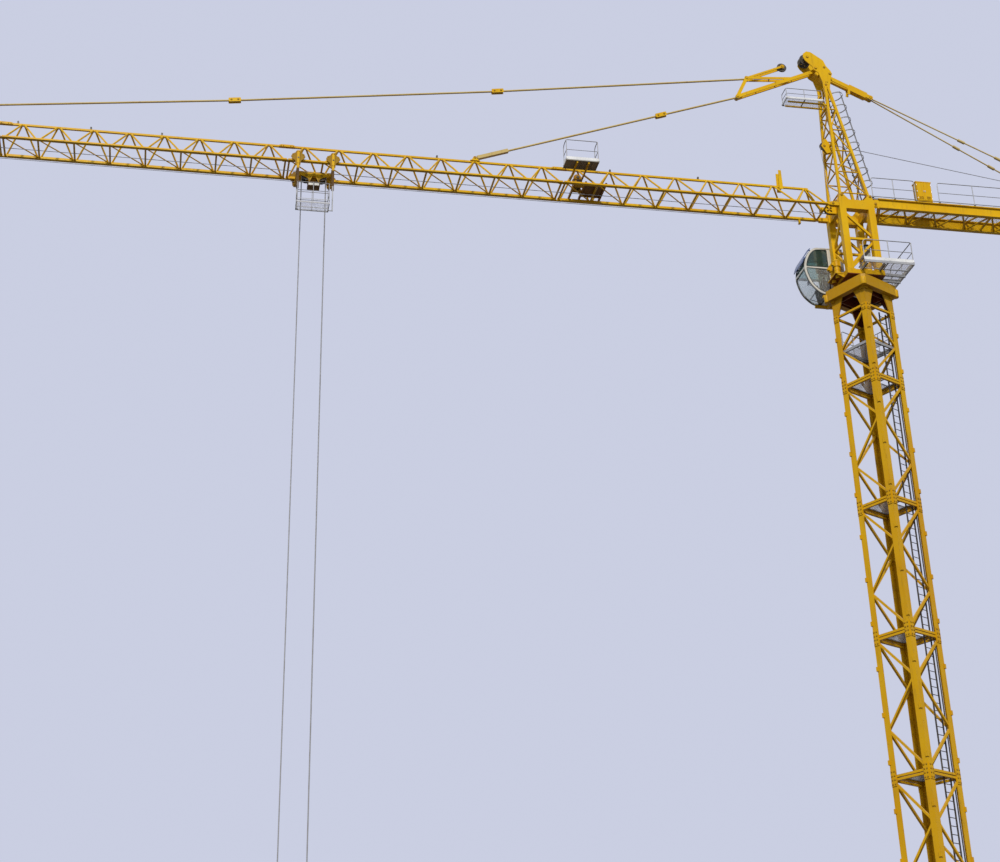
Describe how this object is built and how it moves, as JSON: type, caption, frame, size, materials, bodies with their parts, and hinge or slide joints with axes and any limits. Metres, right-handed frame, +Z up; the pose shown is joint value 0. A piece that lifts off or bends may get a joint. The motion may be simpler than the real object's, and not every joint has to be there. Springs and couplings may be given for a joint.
{
  "type": "tower crane half-scale model",
  "caption": "Saddle-jib tower crane on a lattice mast: the upper part slews, the trolley travels along the jib and the hook block hoists.",
  "frame": {"origin": "underside of the base frame, on the mast's axis", "axes": "+Z up, -X along the jib, +X along the counter-jib, -Y the side that the picture shows"},
  "size_m": [34.342, 2.971, 24.341],
  "materials": {
    "yellow_paint": "weathered gloss paint",
    "galvanised_steel": "dull zinc",
    "dark_steel": "greasy dark steel",
    "cab_cream": "matt enamel",
    "cab_glass": "tinted",
    "visor_blue": "dark tinted sheet",
    "concrete": "cast concrete",
    "rope_steel": "greased wire"
  },
  "bodies": {
    "mast": {"base_frame": "yellow_paint", "mast_section_1": "yellow_paint", "mast_section_2": "yellow_paint", "mast_section_3": "yellow_paint", "mast_section_4": "yellow_paint", "mast_section_5": "yellow_paint", "mast_section_6": "yellow_paint", "mast_section_7": "yellow_paint", "mast_ladder": "galvanised_steel", "rest_platforms": "galvanised_steel", "ring_support": "yellow_paint", "lower_ring": "dark_steel"},
    "upperworks": {"turntable": "yellow_paint", "slewing_drives": "yellow_paint", "slewing_tower": "yellow_paint", "cab_shell": "cab_cream", "cab_windows": "cab_glass", "sun_visor": "visor_blue", "cab_bracket": "yellow_paint", "service_platform": "galvanised_steel", "tower_head": "yellow_paint", "head_sheaves": "dark_steel", "head_platform": "galvanised_steel", "head_ladder": "galvanised_steel", "tie_linkage": "yellow_paint", "jib_ties": "yellow_paint", "counter_ties": "yellow_paint", "jib_section_1": "yellow_paint", "jib_section_2": "yellow_paint", "jib_section_3": "yellow_paint", "jib_section_4": "yellow_paint", "jib_tip": "yellow_paint", "trolley_winch": "dark_steel", "winch_platform": "galvanised_steel", "counter_jib": "yellow_paint", "counter_walkway": "galvanised_steel", "electric_cabinet": "yellow_paint", "hoist_winch": "dark_steel", "counterweights": "concrete", "jib_ropes": "rope_steel"},
    "trolley": {"trolley_frame": "yellow_paint", "trolley_rollers": "dark_steel", "trolley_basket": "galvanised_steel", "rope_falls": "rope_steel"},
    "hook": {"hook_block": "yellow_paint"}
  },
  "joints": [
    {"name": "slew", "type": "hinge", "parent": "mast", "child": "upperworks", "pos_m": [0, 0, 18.4506], "axis": [0, 0, 1], "continuous": true},
    {"name": "trolley_travel", "type": "slide", "parent": "upperworks", "child": "trolley", "axis": [-1, 0, 0], "range_m": [-9.3, 13.6]},
    {"name": "hoist", "type": "slide", "parent": "trolley", "child": "hook", "axis": [0, 0, 1], "range_m": [-4.5, 12.8], "deforming": ["rope_falls"]}
  ]
}
